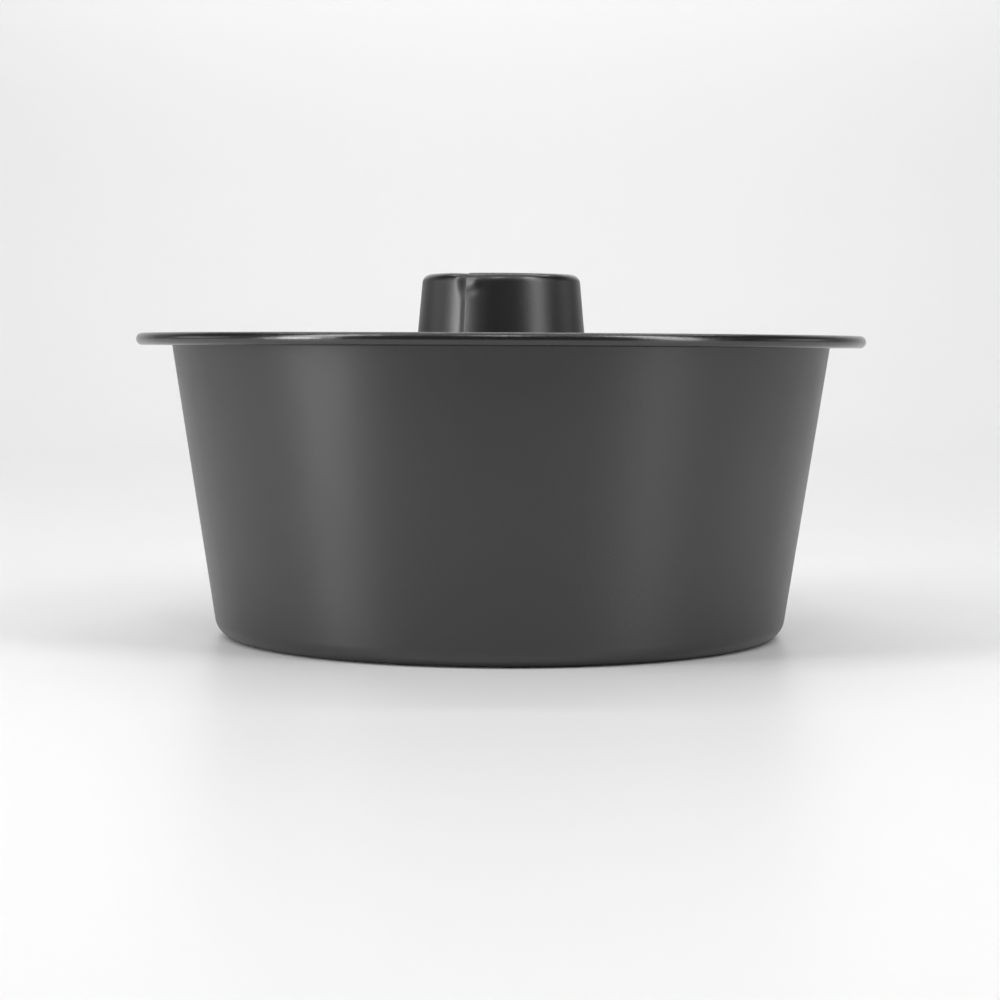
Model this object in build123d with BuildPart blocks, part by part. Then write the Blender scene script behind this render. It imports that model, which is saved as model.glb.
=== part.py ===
from build123d import *
from math import acos, cos, degrees, radians, sin, tan
import os

# Angel food cake pan in millimetres. The origin is the middle of the pan at the level it stands on,
# +Z runs up the tube, and -Y is the front.

# Pan shell
rim_diameter = 260.0
rim_height = 107.7
brim_width = 12.0
wall_taper = 8.7
wall_corner_radius = 7.3
brim_bend_radius = 1.6
shell_sheet = 0.7
seat_width = 7.2

# Curled rim and the wire in it
wire_diameter = 2.4
wire_clearance = 0.225
curl_turn = 300.0

# Base plate
plate_sheet = 0.7
plate_edge_clearance = 0.6
dish_clearance = 0.5
dish_floor_gap = 0.25
dish_step_run = 1.6
boss_height = 3.6
boss_width = 5.0
boss_run = 3.6
plate_bend_radius = 1.5

# Centre tube
tube_top_diameter = 56.2
tube_height = 129.2
tube_taper = 5.07
tube_sheet = 0.6
top_roll_radius = 3.25
top_lip_length = 2.0
foot_gap = 0.1
foot_flange_width = 3.0
foot_bend_radius = 0.3
bead_radius = 1.3
bead_turn = 75.0

# Lap seam of the tube, with the angle of its edge measured from +X about +Z
seam_angle = 244.5
lap_width = 7.0

# Places that follow from the sizes above
wire_radius = wire_diameter / 2
curl_inner_radius = wire_radius + wire_clearance
curl_outer_radius = curl_inner_radius + shell_sheet
rim_radius = rim_diameter / 2
curl_centre_radius = rim_radius - curl_outer_radius
curl_centre_height = rim_height - curl_outer_radius
brim_underside = rim_height - shell_sheet

taper_slope = tan(radians(wall_taper))
wall_foot_radius = rim_radius - brim_width - rim_height * taper_slope
corner_turn = 90 - wall_taper
corner_setback = wall_corner_radius * tan(radians(corner_turn / 2))
floor_radius = wall_foot_radius - corner_setback
seat_opening_radius = floor_radius - seat_width
wall_start_height = wall_corner_radius * (1 - sin(radians(wall_taper)))
wall_end_height = brim_underside - brim_bend_radius * (1 - sin(radians(wall_taper)))
wall_length = (wall_end_height - wall_start_height) / cos(radians(wall_taper))

plate_radius = floor_radius - plate_edge_clearance
dish_radius = seat_opening_radius - dish_clearance
boss_underside = dish_floor_gap + boss_height
tube_slope = tan(radians(tube_taper))
tube_top_radius = tube_top_diameter / 2


def tube_radius(height):
    """Outside radius of the tube's cone at a height."""
    return tube_top_radius + (tube_height - height) * tube_slope


plate_hole_radius = tube_radius(boss_underside) + foot_bend_radius
boss_radius = plate_hole_radius + boss_width
flange_top = boss_underside - foot_gap
foot_turn = 90 - tube_taper
foot_setback = foot_bend_radius * tan(radians(foot_turn / 2))
foot_top = flange_top + foot_bend_radius * (1 - sin(radians(tube_taper)))
bead_foot = boss_underside + plate_sheet + foot_gap - foot_bend_radius
bead_length = 2 * (foot_bend_radius + bead_radius) * sin(radians(bead_turn))
bead_top = bead_foot + bead_length * cos(radians(tube_taper))
roll_start = tube_height - top_roll_radius * (1 - sin(radians(tube_taper)))
foot_length = (bead_foot - foot_top) / cos(radians(tube_taper))
cone_length = (roll_start - bead_top) / cos(radians(tube_taper))


def shell_line(depth):
    """Draws the shell's line at a depth in from the outside of its sheet, and gives its two ends."""
    seat = Line((seat_opening_radius, depth), (floor_radius, depth))
    corner = JernArc(seat @ 1, seat % 1, wall_corner_radius - depth, corner_turn)
    wall = PolarLine(corner @ 1, wall_length, direction=corner % 1)
    bend = JernArc(wall @ 1, wall % 1, brim_bend_radius + depth, -corner_turn)
    brim = Line(bend @ 1, (curl_centre_radius, brim_underside + depth))
    curl = JernArc(brim @ 1, brim % 1, curl_inner_radius + depth, -curl_turn)
    return seat @ 0, curl @ 1


# Pan shell: seat flange, rounded corner, tapered wall, flat brim and the curl at its edge
with BuildPart() as pan_shell:
    with BuildSketch(Plane.XZ):
        with BuildLine():
            seat_edge, curl_edge = shell_line(0)
            seat_edge_inside, curl_edge_inside = shell_line(shell_sheet)
            Line(seat_edge, seat_edge_inside)
            Line(curl_edge, curl_edge_inside)
        make_face()
    revolve(axis=Axis.Z)
pan_shell.part.label = "pan_shell"

# Rim wire: a closed ring inside the curl
with BuildPart() as rim_wire:
    with BuildSketch(Plane.XZ):
        with Locations((curl_centre_radius, curl_centre_height)):
            Circle(wire_radius)
    revolve(axis=Axis.Z)
rim_wire.part.label = "rim_wire"

# Base plate: the line follows its underside, from the hole for the tube out over the raised boss,
# down to the dish, and up to the rim that lies on the shell's seat
with BuildPart() as base_plate:
    with BuildSketch(Plane.XZ):
        with BuildLine():
            FilletPolyline(
                (plate_hole_radius, boss_underside),
                (boss_radius, boss_underside),
                (boss_radius + boss_run, dish_floor_gap),
                (dish_radius - dish_step_run, dish_floor_gap),
                (dish_radius, shell_sheet),
                (plate_radius, shell_sheet),
                radius=plate_bend_radius,
            )
            offset(amount=plate_sheet, side=Side.LEFT)
        make_face()
    revolve(axis=Axis.Z)
base_plate.part.label = "base_plate"


def tube_line(depth):
    """Draws the tube's line at a depth in from the outside of its sheet, and gives its two ends."""
    flange_end = tube_radius(flange_top) + foot_setback
    flange = Line((flange_end + foot_flange_width, flange_top - depth), (flange_end, flange_top - depth))
    foot_bend = JernArc(flange @ 1, flange % 1, foot_bend_radius + depth, -foot_turn)
    foot = PolarLine(foot_bend @ 1, foot_length, direction=foot_bend % 1)
    bead_out = JernArc(foot @ 1, foot % 1, foot_bend_radius + depth, -bead_turn)
    bead = JernArc(bead_out @ 1, bead_out % 1, bead_radius - depth, 2 * bead_turn)
    bead_back = JernArc(bead @ 1, bead % 1, foot_bend_radius + depth, -bead_turn)
    cone = PolarLine(bead_back @ 1, cone_length, direction=bead_back % 1)
    roll = JernArc(cone @ 1, cone % 1, top_roll_radius - depth, 180 - tube_taper)
    lip = PolarLine(roll @ 1, top_lip_length, direction=roll % 1)
    return flange @ 0, lip @ 1


# Centre tube: a flange under the plate, a bead above it, the cone, the rolled top and the lip inside
with BuildPart() as centre_tube:
    with BuildSketch(Plane.XZ):
        with BuildLine():
            flange_edge, lip_edge = tube_line(0)
            flange_edge_inside, lip_edge_inside = tube_line(tube_sheet)
            Line(flange_edge, flange_edge_inside)
            Line(lip_edge, lip_edge_inside)
        make_face()
    revolve(axis=Axis.Z)
    # The lap's section at each end: one sheet proud of the tube at the seam's edge, then a straight run
    # that sinks into the tube as a tangent
    lap_angle = degrees(lap_width / tube_top_radius)
    for height in (bead_top, roll_start):
        outside = tube_radius(height) + tube_sheet
        inside = tube_radius(height) - tube_sheet / 2
        with BuildSketch(Plane.XY.offset(height).rotated((0, 0, seam_angle))):
            with BuildLine():
                Line((inside, 0), (outside, 0))
                face = CenterArc((0, 0), outside, 0, lap_angle)
                buried = CenterArc((0, 0), inside, 0, lap_angle + degrees(acos(inside / outside)))
                Line(face @ 1, buried @ 1)
            make_face()
    loft(ruled=True)
centre_tube.part.label = "centre_tube"

os.makedirs("parts", exist_ok=True)
for piece in (pan_shell, rim_wire, base_plate, centre_tube):
    export_step(piece.part, f"parts/{piece.part.label}.step")
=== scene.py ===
"""Each sheet piece is drawn as one line, spun about the tube's axis, given its sheet's thickness and dressed in the
non-stick coating. Sizes are written in millimetres, and MM turns them into metres.
"""

import logging
from dataclasses import dataclass, field
from enum import Enum
from itertools import pairwise
from math import atan2, ceil, copysign, cos, degrees, exp, hypot, pi, radians, sin, tan
from typing import Sequence

import bpy
from mathutils import Matrix, Vector

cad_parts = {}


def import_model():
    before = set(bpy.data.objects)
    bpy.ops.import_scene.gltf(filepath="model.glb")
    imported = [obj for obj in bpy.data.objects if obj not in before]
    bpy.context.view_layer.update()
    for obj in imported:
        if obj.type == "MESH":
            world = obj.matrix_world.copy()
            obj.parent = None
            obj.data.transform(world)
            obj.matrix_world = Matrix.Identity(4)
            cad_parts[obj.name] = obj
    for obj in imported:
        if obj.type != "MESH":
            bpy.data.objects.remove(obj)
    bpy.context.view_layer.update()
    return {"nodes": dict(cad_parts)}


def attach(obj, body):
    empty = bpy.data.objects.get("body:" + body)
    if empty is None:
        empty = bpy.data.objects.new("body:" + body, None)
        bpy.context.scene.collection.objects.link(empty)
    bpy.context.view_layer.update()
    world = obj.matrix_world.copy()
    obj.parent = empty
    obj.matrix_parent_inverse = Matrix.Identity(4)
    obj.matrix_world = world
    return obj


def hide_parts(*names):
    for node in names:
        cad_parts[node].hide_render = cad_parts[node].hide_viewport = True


MM = 0.001
# Degrees between faces: an edge sharper than the first is a sheet's cut edge, and one sharper than the second
# isn't shaded smooth.
CUT_EDGE_ANGLE = 50
SMOOTH_ANGLE = 40
LOG = logging.getLogger("pan")


class Body(Enum):
    """The bodies that pieces ride on."""

    PAN = "pan"
    LIFT_OUT_BASE = "lift_out_base"


class Slot(Enum):
    """The record's material slots."""

    COATED_STEEL = "coated_steel"
    WIRE_STEEL = "wire_steel"


def linear_colour(code: str) -> tuple[float, float, float, float]:
    """Turns an sRGB colour into a linear one.

    Args:
        code: The colour as #rrggbb.

    Returns:
        Linear red, green, blue, and full opacity.
    """
    shares = [int(code[i : i + 2], 16) / 255 for i in (1, 3, 5)]
    red, green, blue = [s / 12.92 if s <= 0.04045 else ((s + 0.055) / 1.055) ** 2.4 for s in shares]
    return red, green, blue, 1.0


def add_node(
    tree: bpy.types.NodeTree,
    kind: str,
    settings: dict[str, object] | None = None,
    sockets: dict[str, object] | None = None,
    links: dict[str, bpy.types.NodeSocket] | None = None,
) -> bpy.types.Node:
    """Adds a node with its settings, its sockets' values and its links.

    Args:
        tree: The node tree that gets it.
        kind: The node's type.
        settings: The node's own properties.
        sockets: The values of its input sockets, by name or place.
        links: The output sockets that feed its inputs, by the input's name or place.

    Returns:
        The new node.
    """
    node = tree.nodes.new(kind)
    for name, value in (settings or {}).items():
        setattr(node, name, value)
    for name, value in (sockets or {}).items():
        node.inputs[name].default_value = value
    for name, source in (links or {}).items():
        tree.links.new(source, node.inputs[name])
    return node


def new_material(name: str) -> tuple[bpy.types.Material, bpy.types.NodeTree]:
    """Makes an empty node material.

    Args:
        name: The material's name.

    Returns:
        The material and its node tree.
    """
    material = bpy.data.materials.new(name)
    material.use_nodes = True
    material.node_tree.nodes.clear()
    return material, material.node_tree


def smooth_step(value: float, start: float, end: float) -> float:
    """Gives 0 before start, 1 after end, and an even rise between them."""
    share = min(1.0, max(0.0, (value - start) / (end - start)))
    return share * share * (3 - 2 * share)


def mound(place: tuple[float, float], middle: tuple[float, float], spread: tuple[float, float]) -> float:
    """Gives a soft mound that is 1 at its middle and fades over its spread each way."""
    return exp(-sum(((at - here) / wide) ** 2 for at, here, wide in zip(place, middle, spread)))


@dataclass
class SheetLine:
    """The outside line of a sheet in the plane of radius and height, drawn run by run, in millimetres.

    The sheet lies on the line's left, and its outside faces right.
    """

    radius: float
    height: float
    heading: float = 0.0
    points: list[tuple[float, float]] = field(default_factory=list)
    headings: list[float] = field(default_factory=list)

    def __post_init__(self) -> None:
        """Keeps the first point."""
        self.keep()

    def keep(self) -> None:
        """Keeps the point and the heading that the line has reached."""
        self.points.append((self.radius, self.height))
        self.headings.append(self.heading)

    def run(self, length: float, pieces: int = 1) -> None:
        """Goes straight on.

        Args:
            length: How far.
            pieces: How many equal edges the run gets.
        """
        for _ in range(pieces):
            self.radius += length / pieces * cos(radians(self.heading))
            self.height += length / pieces * sin(radians(self.heading))
            self.keep()

    def bend(self, radius: float, turn: float, step: float = 10.0) -> None:
        """Goes round an arc that leaves on the heading and ends on the new one.

        Args:
            radius: The arc's radius.
            turn: Degrees that the heading turns, left above zero.
            step: The most degrees that one edge turns.
        """
        pieces = ceil(abs(turn) / step)
        reach = copysign(radius, turn)
        for _ in range(pieces):
            middle_radius = self.radius - reach * sin(radians(self.heading))
            middle_height = self.height + reach * cos(radians(self.heading))
            self.heading += turn / pieces
            self.radius = middle_radius + reach * sin(radians(self.heading))
            self.height = middle_height - reach * cos(radians(self.heading))
            self.keep()

    def through(self, corners: Sequence[tuple[float, float]], radius: float) -> None:
        """Goes straight from corner to corner, rounds each one, and ends at the last.

        Args:
            corners: The corners' radii and heights.
            radius: The radius of the bends.
        """
        for here, after in pairwise(corners):
            leaving = degrees(atan2(after[1] - here[1], after[0] - here[0]))
            turn = leaving - self.heading
            setback = radius * tan(radians(abs(turn) / 2))
            self.run(hypot(here[0] - self.radius, here[1] - self.height) - setback)
            self.bend(radius, turn)
        self.run(hypot(corners[-1][0] - self.radius, corners[-1][1] - self.height))

    def outwards(self, index: int) -> tuple[float, float]:
        """Gives the direction that the outside faces at one of the points."""
        return sin(radians(self.headings[index])), -cos(radians(self.headings[index]))


def activate(piece: bpy.types.Object) -> None:
    """Selects one piece alone and makes it the active one.

    Args:
        piece: The piece.
    """
    bpy.ops.object.select_all(action="DESELECT")
    piece.select_set(True)
    bpy.context.view_layer.objects.active = piece


def apply_modifier(piece: bpy.types.Object, kind: str, **settings: object) -> None:
    """Adds a modifier, sets it and applies it.

    Args:
        piece: The piece that gets it.
        kind: The modifier's type.
        settings: The modifier's own properties.
    """
    activate(piece)
    modifier = piece.modifiers.new(kind.title(), kind)
    for name, value in settings.items():
        setattr(modifier, name, value)
    bpy.ops.object.modifier_apply(modifier=modifier.name)


def spin_line(
    name: str, line: SheetLine, start: float, turns: Sequence[tuple[float, int]], closed: bool
) -> bpy.types.Object:
    """Draws a sheet's line corner by corner and spins it about the tube's axis.

    Args:
        name: The piece's name.
        line: The line.
        start: Degrees about +Z from +X at which the line is drawn.
        turns: The degrees and the number of steps of each part of the spin, to the right seen from the front.
        closed: Whether the last ring meets the first and is merged with it.

    Returns:
        The spun surface, with its faces towards the sheet's outside.
    """
    along = Vector((cos(radians(start)), sin(radians(start)), 0))
    places = [(along * radius + Vector((0, 0, height))) * MM for radius, height in line.points]
    bpy.ops.object.select_all(action="DESELECT")
    bpy.ops.mesh.primitive_plane_add(size=MM, location=places[0])
    piece = bpy.context.object
    piece.name = piece.data.name = name
    bpy.ops.object.transform_apply(location=True, rotation=True, scale=True)
    bpy.ops.object.mode_set(mode="EDIT")
    bpy.ops.mesh.select_all(action="SELECT")
    bpy.ops.mesh.merge(type="CENTER")
    for here, after in pairwise(places):
        bpy.ops.mesh.extrude_vertices_move(TRANSFORM_OT_translate={"value": after - here})
    bpy.ops.mesh.select_all(action="SELECT")
    for angle, steps in turns:
        bpy.ops.mesh.spin(steps=steps, angle=radians(angle), center=(0, 0, 0), axis=(0, 0, -1))
    if closed:
        bpy.ops.mesh.select_all(action="SELECT")
        bpy.ops.mesh.remove_doubles(threshold=MM / 1000)
    bpy.ops.mesh.select_all(action="SELECT")
    bpy.ops.mesh.normals_make_consistent(inside=False)
    bpy.ops.object.mode_set(mode="OBJECT")
    face_outside(piece, line)
    return piece


def face_outside(piece: bpy.types.Object, line: SheetLine) -> None:
    """Turns a spun surface's faces over if they face the sheet's inside, judged on its longest run.

    Args:
        piece: The spun surface.
        line: The line that it was spun from.
    """
    lengths = [hypot(b[0] - a[0], b[1] - a[1]) for a, b in pairwise(line.points)]
    longest = lengths.index(max(lengths))
    (r0, z0), (r1, z1) = line.points[longest : longest + 2]
    middle = Vector(((r0 + r1) / 2, (z0 + z1) / 2)) * MM
    outside = Vector(line.outwards(longest + 1))

    def miss(face: bpy.types.MeshPolygon) -> float:
        """How far the face's middle is from the run's."""
        return (Vector((face.center.xy.length, face.center.z)) - middle).length

    face = min(piece.data.polygons, key=miss)
    normal = Vector((face.normal.xy.dot(face.center.xy.normalized()), face.normal.z))
    if normal.dot(outside) < 0:
        bpy.ops.object.mode_set(mode="EDIT")
        bpy.ops.mesh.select_all(action="SELECT")
        bpy.ops.mesh.flip_normals()
        bpy.ops.object.mode_set(mode="OBJECT")


def give_thickness(piece: bpy.types.Object, sheet: float, edge_radius: float) -> None:
    """Gives a surface its sheet's thickness, eases the sheet's cut edges and shades it.

    Args:
        piece: The surface, facing the sheet's outside.
        sheet: The sheet's thickness in millimetres.
        edge_radius: How far the cut edges are rounded, in millimetres.
    """
    apply_modifier(piece, "SOLIDIFY", thickness=sheet * MM, offset=-1, use_even_offset=True)
    apply_modifier(
        piece,
        "BEVEL",
        width=edge_radius * MM,
        segments=3,
        limit_method="ANGLE",
        angle_limit=radians(CUT_EDGE_ANGLE),
        use_clamp_overlap=True,
    )
    activate(piece)
    bpy.ops.object.shade_smooth_by_angle(angle=radians(SMOOTH_ANGLE))


@dataclass(frozen=True)
class NonStickCoating:
    """PTFE non-stick coating, sprayed on sheet steel and baked.

    It is a satin dark charcoal film. Its spray grain breaks highlights into a fine sparkle, flecks of mica in it
    are faintly lighter, and its gloss drifts a little from place to place.
    """

    name: str = "ptfe_non_stick_sprayed_and_baked"
    colour: str = "#212122"
    fleck_colour: str = "#2b2b2d"
    ior: float = 1.65
    roughness: float = 0.36
    roughness_drift: float = 0.03
    # Curling the brim and rolling the tube's top pull the film smooth, which sharpens their highlights. The film is
    # smooth past this radius and above this height, and the change takes up the blend.
    rolled_roughness: float = 0.2
    rolled_radius: float = 126.8
    rolled_height: float = 127.0
    rolled_blend: float = 0.8
    # The real grain is about 0.1 mm across, under a pixel, so it is drawn as coarse as a pixel and a half,
    # and as high as that coarseness needs for the real grain's slopes.
    grain: float = 0.5
    grain_height: float = 0.042
    # Mica flecks are some 0.05 mm across, and are drawn as fewer and larger ones for the same reason.
    fleck: float = 0.9
    fleck_core: float = 0.1
    fleck_edge: float = 0.16
    # The film's gloss drifts over about the width of a spray gun's pass. The noise keeps mostly between low and high.
    drift: float = 35.0
    drift_low: float = 0.3
    drift_high: float = 0.7

    def make(self) -> bpy.types.Material:
        """Makes the material.

        Returns:
            The coating's material.
        """
        material, tree = new_material(self.name)
        place = add_node(tree, "ShaderNodeTexCoord").outputs["Object"]
        grain = add_node(
            tree,
            "ShaderNodeTexNoise",
            sockets={"Scale": 1 / (self.grain * MM), "Detail": 2.0, "Roughness": 0.6},
            links={"Vector": place},
        )
        drift = add_node(
            tree,
            "ShaderNodeTexNoise",
            sockets={"Scale": 1 / (self.drift * MM), "Detail": 3.0, "Roughness": 0.5},
            links={"Vector": place},
        )
        fleck = add_node(
            tree,
            "ShaderNodeTexVoronoi",
            sockets={"Scale": 1 / (self.fleck * MM)},
            links={"Vector": place},
        )
        shine = add_node(
            tree,
            "ShaderNodeMapRange",
            sockets={"From Min": self.fleck_edge, "From Max": self.fleck_core},
            links={"Value": fleck.outputs["Distance"]},
        )
        colour = add_node(
            tree,
            "ShaderNodeMix",
            settings={"data_type": "RGBA"},
            sockets={"A": linear_colour(self.colour), "B": linear_colour(self.fleck_colour)},
            links={"Factor": shine.outputs["Result"]},
        )
        gloss = add_node(
            tree,
            "ShaderNodeMapRange",
            sockets={
                "From Min": self.drift_low,
                "From Max": self.drift_high,
                "To Min": self.roughness - self.roughness_drift,
                "To Max": self.roughness + self.roughness_drift,
            },
            links={"Value": drift.outputs["Fac"]},
        )
        flat = add_node(
            tree,
            "ShaderNodeVectorMath",
            settings={"operation": "MULTIPLY"},
            sockets={1: (1, 1, 0)},
            links={0: place},
        )
        radius = add_node(
            tree, "ShaderNodeVectorMath", settings={"operation": "LENGTH"}, links={0: flat.outputs["Vector"]}
        )
        height = add_node(tree, "ShaderNodeSeparateXYZ", links={"Vector": place})
        curled = self.beyond(tree, radius.outputs["Value"], self.rolled_radius)
        rolled = self.beyond(tree, height.outputs["Z"], self.rolled_height)
        worked = add_node(
            tree,
            "ShaderNodeMath",
            settings={"operation": "MAXIMUM"},
            links={0: curled.outputs["Result"], 1: rolled.outputs["Result"]},
        )
        roughness = add_node(
            tree,
            "ShaderNodeMix",
            sockets={"B": self.rolled_roughness},
            links={"Factor": worked.outputs["Value"], "A": gloss.outputs["Result"]},
        )
        bump = add_node(
            tree,
            "ShaderNodeBump",
            sockets={"Strength": 1.0, "Distance": self.grain_height * MM},
            links={"Height": grain.outputs["Fac"]},
        )
        shader = add_node(
            tree,
            "ShaderNodeBsdfPrincipled",
            sockets={"IOR": self.ior},
            links={
                "Base Color": colour.outputs["Result"],
                "Roughness": roughness.outputs["Result"],
                "Normal": bump.outputs["Normal"],
            },
        )
        add_node(tree, "ShaderNodeOutputMaterial", links={"Surface": shader.outputs["BSDF"]})
        return material

    def beyond(self, tree: bpy.types.NodeTree, value: bpy.types.NodeSocket, edge: float) -> bpy.types.Node:
        """Adds a node that rises from 0 to 1 where a length passes an edge.

        Args:
            tree: The node tree that gets it.
            value: The length in metres.
            edge: The edge in millimetres.

        Returns:
            The new node.
        """
        return add_node(
            tree,
            "ShaderNodeMapRange",
            sockets={"From Min": edge * MM, "From Max": (edge + self.rolled_blend) * MM},
            links={"Value": value},
        )


@dataclass(frozen=True)
class DrawnWire:
    """Low-carbon steel wire, cold drawn: bare grey metal with fine lines along its length."""

    name: str = "steel_wire_cold_drawn"
    colour: str = "#a3a3a6"
    line_colour: str = "#7c7c80"
    roughness: float = 0.36
    # Die lines are a few hundredths of a millimetre wide, and are drawn coarser so that they show.
    line_width: float = 0.3
    line_depth: float = 0.005

    def make(self) -> bpy.types.Material:
        """Makes the material.

        Returns:
            The wire's material.
        """
        material, tree = new_material(self.name)
        place = add_node(tree, "ShaderNodeTexCoord").outputs["Object"]
        lines = add_node(
            tree,
            "ShaderNodeTexNoise",
            sockets={"Scale": 1 / (self.line_width * MM), "Detail": 3.0},
            links={"Vector": place},
        )
        colour = add_node(
            tree,
            "ShaderNodeMix",
            settings={"data_type": "RGBA"},
            sockets={"A": linear_colour(self.colour), "B": linear_colour(self.line_colour)},
            links={"Factor": lines.outputs["Fac"]},
        )
        bump = add_node(
            tree,
            "ShaderNodeBump",
            sockets={"Strength": 1.0, "Distance": self.line_depth * MM},
            links={"Height": lines.outputs["Fac"]},
        )
        shader = add_node(
            tree,
            "ShaderNodeBsdfPrincipled",
            sockets={"Metallic": 1.0, "Roughness": self.roughness},
            links={"Base Color": colour.outputs["Result"], "Normal": bump.outputs["Normal"]},
        )
        add_node(tree, "ShaderNodeOutputMaterial", links={"Surface": shader.outputs["BSDF"]})
        return material


def dress(piece: bpy.types.Object, material: bpy.types.Material) -> None:
    """Gives a piece one material all over."""
    piece.data.materials.clear()
    piece.data.materials.append(material)


@dataclass
class PanRing:
    """The pan's ring: seat flange, rounded corner, tapered wall, flat brim and the curl round the rim wire."""

    rim_diameter: float = 260.0
    rim_height: float = 107.7
    brim_width: float = 12.0
    wall_taper: float = 8.7
    corner_radius: float = 7.3
    brim_bend_radius: float = 1.6
    sheet: float = 0.7
    seat_width: float = 7.2
    wire_diameter: float = 2.4
    wire_clearance: float = 0.225
    curl_turn: float = 300.0
    edge_radius: float = 0.12
    steps: int = 600
    # The curl's outside isn't quite true: it dips by up to this much, over waves of about this length. Each of the
    # waves is so many times as long, and is shifted by so many times the shift, which is in radians.
    ripple_depth: float = 0.08
    ripple_length: float = 9.0
    ripple_waves: tuple[float, ...] = (0.8, 1.3, 2.1, 3.7)
    ripple_shift: float = 5.0

    @property
    def curl_inner_radius(self) -> float:
        """The inside radius of the curl."""
        return self.wire_diameter / 2 + self.wire_clearance

    @property
    def curl_centre_radius(self) -> float:
        """How far the curl's middle is from the axis."""
        return self.rim_diameter / 2 - self.curl_inner_radius - self.sheet

    @property
    def floor_radius(self) -> float:
        """Where the seat flange runs into the rounded corner."""
        foot = self.rim_diameter / 2 - self.brim_width - self.rim_height * tan(radians(self.wall_taper))
        return foot - self.corner_radius * tan(radians((90 - self.wall_taper) / 2))

    @property
    def seat_opening_radius(self) -> float:
        """The radius of the opening that the loose base covers."""
        return self.floor_radius - self.seat_width

    def line(self) -> SheetLine:
        """Draws the outside line.

        Returns:
            The line, from the seat's edge to the end of the curl.
        """
        taper = radians(self.wall_taper)
        brim_underside = self.rim_height - self.sheet
        start_height = self.corner_radius * (1 - sin(taper))
        end_height = brim_underside - self.brim_bend_radius * (1 - sin(taper))
        line = SheetLine(self.seat_opening_radius, 0)
        line.run(self.seat_width)
        line.bend(self.corner_radius, 90 - self.wall_taper, step=6)
        line.run((end_height - start_height) / cos(taper), pieces=8)
        line.bend(self.brim_bend_radius, self.wall_taper - 90, step=12)
        line.run(self.curl_centre_radius - line.radius, pieces=2)
        line.bend(self.curl_inner_radius, -self.curl_turn, step=12)
        return line

    def ripple(self, piece: bpy.types.Object) -> None:
        """Dents the curl's outside by up to the ripple's depth, as curling a wide flat brim does.

        Args:
            piece: The ring's spun surface.
        """
        middle = Vector((self.curl_centre_radius, self.rim_height - self.sheet - self.curl_inner_radius))
        way_round = 2 * pi * self.rim_diameter / 2
        waves = [(round(way_round / self.ripple_length / times), times) for times in self.ripple_waves]
        for vertex in piece.data.vertices:
            place = Vector((vertex.co.xy.length, vertex.co.z)) / MM
            if place.x < self.curl_centre_radius:
                continue
            turned = atan2(vertex.co.y, vertex.co.x)
            wave = sum(sin(count * turned + self.ripple_shift * times) for count, times in waves) / len(waves)
            lean = atan2(place.y - middle.y, place.x - middle.x)
            dip = self.ripple_depth * (1 - wave) / 2 * cos(lean) ** 2
            inwards = Vector((-vertex.co.x, -vertex.co.y, 0)).normalized()
            vertex.co += inwards * dip * MM

    def build(self) -> bpy.types.Object:
        """Models the ring and makes it stand for the CAD shell.

        Returns:
            The ring.
        """
        line = self.line()
        piece = spin_line("pan_shell_sheet", line, 0, [(360, self.steps)], closed=True)
        self.ripple(piece)
        give_thickness(piece, self.sheet, self.edge_radius)
        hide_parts("pan_shell")
        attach(piece, Body.PAN.value)
        return piece

    def dress(self, shell: bpy.types.Object, wire: bpy.types.Object, coating: bpy.types.Material) -> None:
        """Coats the shell, and leaves the wire that the curl closes in bare.

        Args:
            shell: The ring's piece.
            wire: The rim wire, which keeps its CAD mesh.
            coating: The non-stick coating.
        """
        dress(shell, coating)
        dress(wire, DrawnWire().make())


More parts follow.
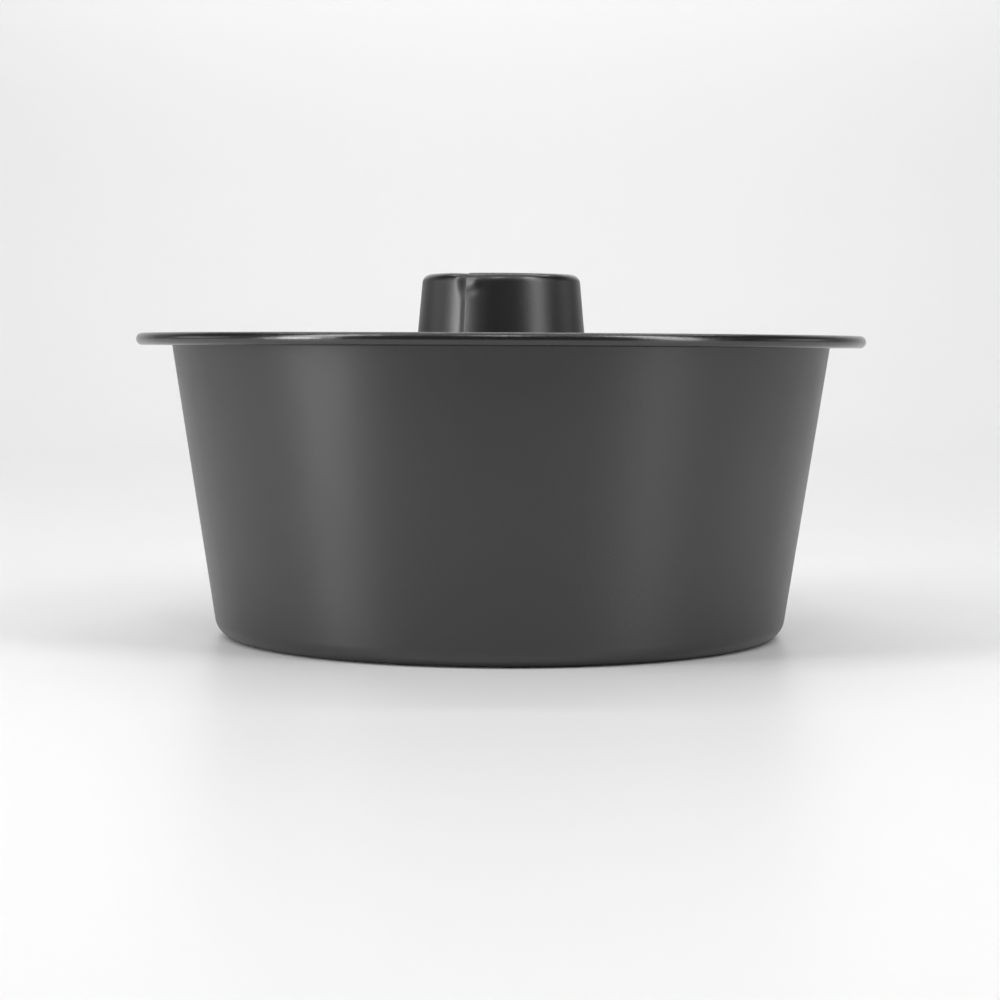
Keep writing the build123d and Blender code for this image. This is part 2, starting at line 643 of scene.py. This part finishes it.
@dataclass
class LiftOutBase:
    """The loose base: a pressed plate, and the lapped tube that is beaded onto it."""

    ring: PanRing
    plate_sheet: float = 0.7
    plate_edge_clearance: float = 0.6
    dish_clearance: float = 0.5
    dish_floor_gap: float = 0.25
    dish_step_run: float = 1.6
    boss_height: float = 3.6
    boss_width: float = 5.0
    boss_run: float = 3.6
    plate_bend_radius: float = 1.5
    plate_edge_radius: float = 0.12
    plate_steps: int = 360
    tube_top_diameter: float = 56.2
    tube_height: float = 129.2
    tube_taper: float = 5.07
    tube_sheet: float = 0.6
    top_roll_radius: float = 3.25
    top_lip_length: float = 2.0
    foot_gap: float = 0.1
    foot_flange_width: float = 3.0
    foot_bend_radius: float = 0.3
    bead_radius: float = 1.3
    bead_turn: float = 75.0
    tube_edge_radius: float = 0.2
    seam_angle: float = 244.5
    lap_width: float = 7.0
    # The spin's steps are finer for this many degrees on both sides of the seam.
    seam_span: float = 30.0
    over_steps: int = 45
    plain_steps: int = 150
    under_steps: int = 70
    # The over sheet's edge stands this much proud of the tube, and the under sheet sinks the rest of a sheet. The
    # lap comes proud over the rise above the bead, and eases into the tube past its width.
    lap_proud: float = 0.42
    lap_rise: float = 8.0
    lap_ease: float = 9.0
    sink_width: float = 2.4
    lap_gap: float = 0.05
    # At the worked top of the seam the over sheet bulges, with a hollow below, and the under sheet is dented. A
    # place is the way round from the seam's edge and up from the start of the roll, and a spread goes with each.
    worked_length: float = 14.0
    bulge: float = 0.35
    bulge_place: tuple[float, float] = (3.6, -0.4)
    bulge_spread: tuple[float, float] = (2.2, 1.7)
    hollow: float = 0.21
    hollow_place: tuple[float, float] = (1.5, -4.0)
    hollow_spread: tuple[float, float] = (2.6, 1.3)
    dent: float = 0.6
    dent_start: float = -7.0
    dent_whole: float = 0.5
    dent_width: float = 4.6
    # The dent is gone at this share of the way up the roll.
    dent_gone: float = 0.8
    # How far up from the start of the roll each sheet begins to settle.
    over_settles: float = -1.0
    under_settles: float = 1.0
    # At the roll's top the under sheet comes up in two slopes: this share over the first width, the rest over both.
    edge_share: float = 0.6
    edge_width: float = 0.9
    roll_width: float = 9.0

    @property
    def boss_underside(self) -> float:
        """The height of the raised centre's underside."""
        return self.dish_floor_gap + self.boss_height

    @property
    def tube_top_radius(self) -> float:
        """The radius of the tube's cone at its top."""
        return self.tube_top_diameter / 2

    @property
    def bead_top(self) -> float:
        """The height where the bead above the plate runs into the cone.

        Returns:
            The height in millimetres.
        """
        foot = self.boss_underside + self.plate_sheet + self.foot_gap - self.foot_bend_radius
        length = 2 * (self.foot_bend_radius + self.bead_radius) * sin(radians(self.bead_turn))
        return foot + length * cos(radians(self.tube_taper))

    @property
    def roll_start(self) -> float:
        """The height where the cone runs into the rolled top."""
        return self.tube_height - self.top_roll_radius * (1 - sin(radians(self.tube_taper)))

    @property
    def cone_length(self) -> float:
        """The length of the cone along its slope."""
        return (self.roll_start - self.bead_top) / cos(radians(self.tube_taper))

    def tube_radius(self, height: float) -> float:
        """Gives the outside radius of the tube's cone at a height."""
        return self.tube_top_radius + (self.tube_height - height) * tan(radians(self.tube_taper))

    def plate_line(self) -> SheetLine:
        """Draws the plate's underside.

        Returns:
            The line, from the hole for the tube out to the plate's edge.
        """
        hole = self.tube_radius(self.boss_underside) + self.foot_bend_radius
        dish = self.ring.seat_opening_radius - self.dish_clearance
        line = SheetLine(hole, self.boss_underside)
        line.through(
            [
                (hole + self.boss_width, self.boss_underside),
                (hole + self.boss_width + self.boss_run, self.dish_floor_gap),
                (dish - self.dish_step_run, self.dish_floor_gap),
                (dish, self.ring.sheet),
                (self.ring.floor_radius - self.plate_edge_clearance, self.ring.sheet),
            ],
            self.plate_bend_radius,
        )
        return line

    def tube_line(self) -> tuple[SheetLine, int]:
        """Draws the tube's outside line.

        Returns:
            The line, from the flange's edge to the lip's, and the index of the point where the roll starts.
        """
        taper = radians(self.tube_taper)
        flange_top = self.boss_underside - self.foot_gap
        setback = self.foot_bend_radius * tan(radians((90 - self.tube_taper) / 2))
        foot_top = flange_top + self.foot_bend_radius * (1 - sin(taper))
        bead_foot = self.boss_underside + self.plate_sheet + self.foot_gap - self.foot_bend_radius
        line = SheetLine(self.tube_radius(flange_top) + setback + self.foot_flange_width, flange_top, 180)
        line.run(self.foot_flange_width)
        line.bend(self.foot_bend_radius, self.tube_taper - 90, step=29)
        line.run((bead_foot - foot_top) / cos(taper))
        line.bend(self.foot_bend_radius, -self.bead_turn, step=25)
        line.bend(self.bead_radius, 2 * self.bead_turn, step=15)
        line.bend(self.foot_bend_radius, -self.bead_turn, step=25)
        line.run(self.cone_length - self.worked_length, pieces=8)
        line.run(self.worked_length, pieces=28)
        roll_index = len(line.points) - 1
        line.bend(self.top_roll_radius, 180 - self.tube_taper, step=8)
        line.run(self.top_lip_length, pieces=2)
        return line, roll_index

    def lap_offset(self, turned: float, along: float) -> float:
        """Gives how far the tube's sheet stands out from a plain tube, in millimetres.

        Args:
            turned: The way round from the seam's edge, in millimetres at the tube's top, up to a turn and a lap.
            along: The way along the sheet's line from the start of the roll, upwards.

        Returns:
            The offset, outwards above zero.
        """
        way_round = 2 * pi * self.tube_top_radius
        roll_top = self.top_roll_radius * radians(90 - self.tube_taper)
        above_bead = smooth_step(along, -self.cone_length, self.lap_rise - self.cone_length)
        on_cone = (1 - smooth_step(along, self.over_settles, roll_top)) * above_bead
        over = self.lap_proud * on_cone * (1 - smooth_step(turned, self.lap_width, self.lap_width + self.lap_ease))
        place = turned, along
        over += self.bulge * mound(place, self.bulge_place, self.bulge_spread)
        over -= self.hollow * mound(place, self.hollow_place, self.hollow_spread)
        sunk = self.tube_sheet + self.lap_gap - self.lap_proud * on_cone
        width = self.sink_width * (1 + smooth_step(along, self.dent_start, 0.0))
        rest = way_round - turned
        at_top = smooth_step(along, self.under_settles, roll_top)
        low = 1 - smooth_step(rest, 0.0, width)
        high = 1 - self.edge_share * smooth_step(rest, 0.0, self.edge_width)
        high -= (1 - self.edge_share) * smooth_step(rest, 0.0, self.roll_width)
        under = -sunk * (low + (high - low) * at_top)
        dented = smooth_step(along, self.dent_start, self.dent_whole)
        dented *= 1 - smooth_step(along, self.under_settles, self.dent_gone * roll_top)
        under -= self.dent * dented * (1 - smooth_step(rest, 0.0, self.dent_width))
        return over if rest > way_round / 2 else under

    def build_plate(self) -> bpy.types.Object:
        """Models the plate and makes it stand for the CAD plate.

        Returns:
            The plate.
        """
        piece = spin_line("base_plate_sheet", self.plate_line(), 0, [(360, self.plate_steps)], closed=True)
        give_thickness(piece, self.plate_sheet, self.plate_edge_radius)
        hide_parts("base_plate")
        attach(piece, Body.LIFT_OUT_BASE.value)
        return piece

    def build_tube(self) -> bpy.types.Object:
        """Models the tube as one sheet rolled round past itself, and makes it stand for the CAD tube.

        Returns:
            The tube.
        """
        line, roll_index = self.tube_line()
        lap = degrees(self.lap_width / self.tube_top_radius)
        turns = [
            (self.seam_span, self.over_steps),
            (360 - 2 * self.seam_span, self.plain_steps),
            (self.seam_span + lap, self.under_steps),
        ]
        piece = spin_line("centre_tube_sheet", line, self.seam_angle, turns, closed=False)
        turned = [0.0]
        for angle, steps in turns:
            turned += [turned[-1] + angle * (n + 1) / steps for n in range(steps)]
        lengths = [hypot(b[0] - a[0], b[1] - a[1]) for a, b in pairwise(line.points)]
        along = [sum(lengths[:n]) - sum(lengths[:roll_index]) for n in range(len(line.points))]
        count = len(line.points)
        for vertex in piece.data.vertices:
            place = Vector((vertex.co.xy.length, vertex.co.z)) / MM
            index = min(range(count), key=lambda n: (Vector(line.points[n]) - place).length_squared)
            way = radians(turned[vertex.index // count]) * self.tube_top_radius
            out, up = line.outwards(index)
            offset = self.lap_offset(way, along[index]) * MM
            vertex.co += vertex.co.xy.normalized().to_3d() * out * offset + Vector((0, 0, up * offset))
        give_thickness(piece, self.tube_sheet, self.tube_edge_radius)
        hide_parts("centre_tube")
        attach(piece, Body.LIFT_OUT_BASE.value)
        return piece

    def dress(self, plate: bpy.types.Object, tube: bpy.types.Object, coating: bpy.types.Material) -> None:
        """Coats the plate and the tube.

        Args:
            plate: The plate.
            tube: The tube.
            coating: The non-stick coating.
        """
        dress(plate, coating)
        dress(tube, coating)


@dataclass(frozen=True)
class Cove:
    """The white cove that the pan stands in: floor, a wide bend and a back wall, in metres.

    It is rolled with satin white paint, which gives a soft sheen and no sharp mirror image. In front of the view its
    floor is painted darker, as painted shade.
    """

    width: float = 9.0
    front: float = -3.0
    back: float = 2.6
    wall: float = 3.2
    bend: float = 1.2
    colour: str = "#e6e6e6"
    roughness: float = 0.4
    cloud_colour: str = "#eaeaea"
    # Rolled paint is faintly cloudy over about this many metres.
    cloud: float = 1.25
    # In front of the view the floor is painted darker over this stretch, as painted shade where the lamps' light
    # falls off, so that the pan's wall mirrors less pale floor.
    painted_shade_start: float = -0.5
    painted_shade_end: float = -0.9
    painted_shade_colour: str = "#2e2e30"

    def build(self) -> bpy.types.Object:
        """Models the cove as one sheet that bends up behind the pan.

        Returns:
            The cove.
        """
        bpy.ops.object.select_all(action="DESELECT")
        middle = (self.front + self.back) / 2
        bpy.ops.mesh.primitive_plane_add(size=1, location=(0, middle, 0))
        cove = bpy.context.object
        cove.name = cove.data.name = "cove"
        cove.scale = (self.width, self.back - self.front, 1)
        bpy.ops.object.transform_apply(location=True, rotation=True, scale=True)
        bpy.ops.object.mode_set(mode="EDIT")
        bpy.ops.mesh.select_mode(type="EDGE")
        self.select_back_edge(cove)
        bpy.ops.mesh.extrude_region_move(TRANSFORM_OT_translate={"value": (0, 0, self.wall)})
        self.select_back_edge(cove)
        bpy.ops.mesh.bevel(offset=self.bend, segments=32)
        bpy.ops.mesh.select_all(action="SELECT")
        bpy.ops.mesh.normals_make_consistent(inside=True)
        bpy.ops.object.mode_set(mode="OBJECT")
        bpy.ops.object.shade_smooth_by_angle(angle=radians(SMOOTH_ANGLE))
        return cove

    def select_back_edge(self, cove: bpy.types.Object) -> None:
        """Selects the edge where the floor meets the back wall, in edit mode.

        Args:
            cove: The cove.
        """
        bpy.ops.mesh.select_all(action="DESELECT")
        bpy.ops.object.mode_set(mode="OBJECT")
        places = cove.data.vertices
        for edge in cove.data.edges:
            edge.select = all(
                abs(places[v].co.y - self.back) < MM and abs(places[v].co.z) < MM for v in edge.vertices
            )
        bpy.ops.object.mode_set(mode="EDIT")

    def dress(self, cove: bpy.types.Object) -> None:
        """Paints the cove.

        Args:
            cove: The cove.
        """
        material, tree = new_material("satin_white_paint_with_painted_shade")
        place = add_node(tree, "ShaderNodeTexCoord").outputs["Object"]
        clouds = add_node(tree, "ShaderNodeTexNoise", sockets={"Scale": 1 / self.cloud}, links={"Vector": place})
        white = add_node(
            tree,
            "ShaderNodeMix",
            settings={"data_type": "RGBA"},
            sockets={"A": linear_colour(self.colour), "B": linear_colour(self.cloud_colour)},
            links={"Factor": clouds.outputs["Fac"]},
        )
        forward = add_node(tree, "ShaderNodeSeparateXYZ", links={"Vector": place})
        # Painted shade: the floor's colour darkens towards the front, in place of the lamps' light falling off.
        painted_shade = add_node(
            tree,
            "ShaderNodeMapRange",
            settings={"interpolation_type": "SMOOTHSTEP"},
            sockets={"From Min": self.painted_shade_start, "From Max": self.painted_shade_end},
            links={"Value": forward.outputs["Y"]},
        )
        colour = add_node(
            tree,
            "ShaderNodeMix",
            settings={"data_type": "RGBA"},
            sockets={"B": linear_colour(self.painted_shade_colour)},
            links={"Factor": painted_shade.outputs["Result"], "A": white.outputs["Result"]},
        )
        shader = add_node(
            tree,
            "ShaderNodeBsdfPrincipled",
            sockets={"Roughness": self.roughness, "Specular IOR Level": 0.5},
            links={"Base Color": colour.outputs["Result"]},
        )
        add_node(tree, "ShaderNodeOutputMaterial", links={"Surface": shader.outputs["BSDF"]})
        dress(cove, material)


@dataclass(frozen=True)
class Softbox:
    """A soft rectangular lamp that points at the pan or at another place.

    Args:
        name: The lamp's name.
        azimuth: Degrees from the camera's side, to the right above zero.
        elevation: Degrees above the floor.
        distance: Metres from the place that it points at.
        size: Width and height in metres.
        radiance: How bright its face is, where 1 is white.
        aim: The place that it points at, in metres.
    """

    name: str
    azimuth: float
    elevation: float
    distance: float
    size: tuple[float, float]
    radiance: float
    aim: tuple[float, float, float] = (0, 0, 0.06)

    def build(self) -> bpy.types.Object:
        """Adds the lamp.

        Returns:
            The lamp.
        """
        side, rise = radians(self.azimuth), radians(self.elevation)
        towards = Vector((sin(side) * cos(rise), -cos(side) * cos(rise), sin(rise)))
        bpy.ops.object.light_add(type="AREA", location=Vector(self.aim) + towards * self.distance)
        lamp = bpy.context.object
        lamp.name = lamp.data.name = self.name
        lamp.rotation_mode = "QUATERNION"
        lamp.rotation_quaternion = towards.to_track_quat("Z", "Y")
        lamp.data.shape = "RECTANGLE"
        lamp.data.size, lamp.data.size_y = self.size
        lamp.data.energy = self.radiance * pi * self.size[0] * self.size[1]
        return lamp


@dataclass(frozen=True)
class Studio:
    """The camera, the lamps and the room's own dim light.

    The lens and the sensor are in millimetres, the camera's place in metres, and its pitch and roll in radians.
    """

    lens: float = 85.91
    sensor: float = 36.0
    place: tuple[float, float, float] = (-0.0001, -0.8614, 0.1026)
    pitch: float = 0.0632
    roll: float = 0.0049
    # The world's strength, where 1 is white.
    room: float = 0.02
    lamps: tuple[Softbox, ...] = (
        Softbox("left_low", -61, 8, 1.3, (0.3, 0.36), 16),
        Softbox("left_high", -61, 38, 1.3, (0.3, 1.0), 8),
        Softbox("right_low", 53, 8, 1.3, (0.3, 0.36), 6),
        Softbox("right_high", 53, 38, 1.3, (0.3, 1.0), 8),
        Softbox("fill_left", -103, 12, 1.6, (0.7, 0.5), 1.1),
        Softbox("fill_right", 103, 12, 1.6, (0.7, 0.5), 0.9),
        Softbox("key_top", 0, 56, 3.0, (0.5, 0.42), 12),
        Softbox("ceiling", 0, 84, 2.0, (2.4, 2.0), 0.9),
        Softbox("backdrop", 0, 45, 2.0, (3.0, 0.8), 6.6, aim=(0, 2.6, 1.0)),
    )

    def add_camera(self) -> None:
        """Adds the camera at the photograph's viewing angle."""
        bpy.ops.object.camera_add()
        camera = bpy.context.object
        camera.name = "camera"
        turn = Matrix.Rotation(pi / 2 - self.pitch, 4, "X") @ Matrix.Rotation(self.roll, 4, "Z")
        camera.matrix_world = Matrix.Translation(self.place) @ turn
        camera.data.sensor_width = self.sensor
        camera.data.lens = self.lens
        camera.data.clip_start = 0.01
        bpy.context.scene.camera = camera

    def light(self) -> None:
        """Adds the lamps and sets the room's light."""
        for lamp in self.lamps:
            lamp.build()
        scene = bpy.context.scene
        scene.world = bpy.data.worlds.new("room")
        scene.world.use_nodes = True
        tree = scene.world.node_tree
        tree.nodes.clear()
        room = add_node(tree, "ShaderNodeBackground", sockets={"Strength": self.room})
        add_node(tree, "ShaderNodeOutputWorld", links={"Surface": room.outputs["Background"]})
        scene.view_settings.view_transform = "Standard"


def report(piece: bpy.types.Object) -> None:
    """Logs a piece's size and its count of triangles.

    Args:
        piece: The piece.
    """
    size = [round(side / MM, 2) for side in piece.dimensions]
    triangles = sum(len(face.vertices) - 2 for face in piece.data.polygons)
    LOG.info("%s: %s mm, %d triangles", piece.name, size, triangles)


def main() -> None:
    """Builds and dresses the pan, and sets the scene."""
    logging.basicConfig(level=logging.INFO, format="%(message)s")
    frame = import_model()
    studio = Studio()
    studio.add_camera()
    coating = NonStickCoating().make()
    ring = PanRing()
    shell, wire = ring.build(), frame["nodes"]["rim_wire"]
    ring.dress(shell, wire, coating)
    base = LiftOutBase(ring)
    plate, tube = base.build_plate(), base.build_tube()
    base.dress(plate, tube, coating)
    for piece in (shell, wire, plate, tube):
        report(piece)
    cove = Cove()
    cove.dress(cove.build())
    studio.light()


if __name__ == "__main__":
    main()
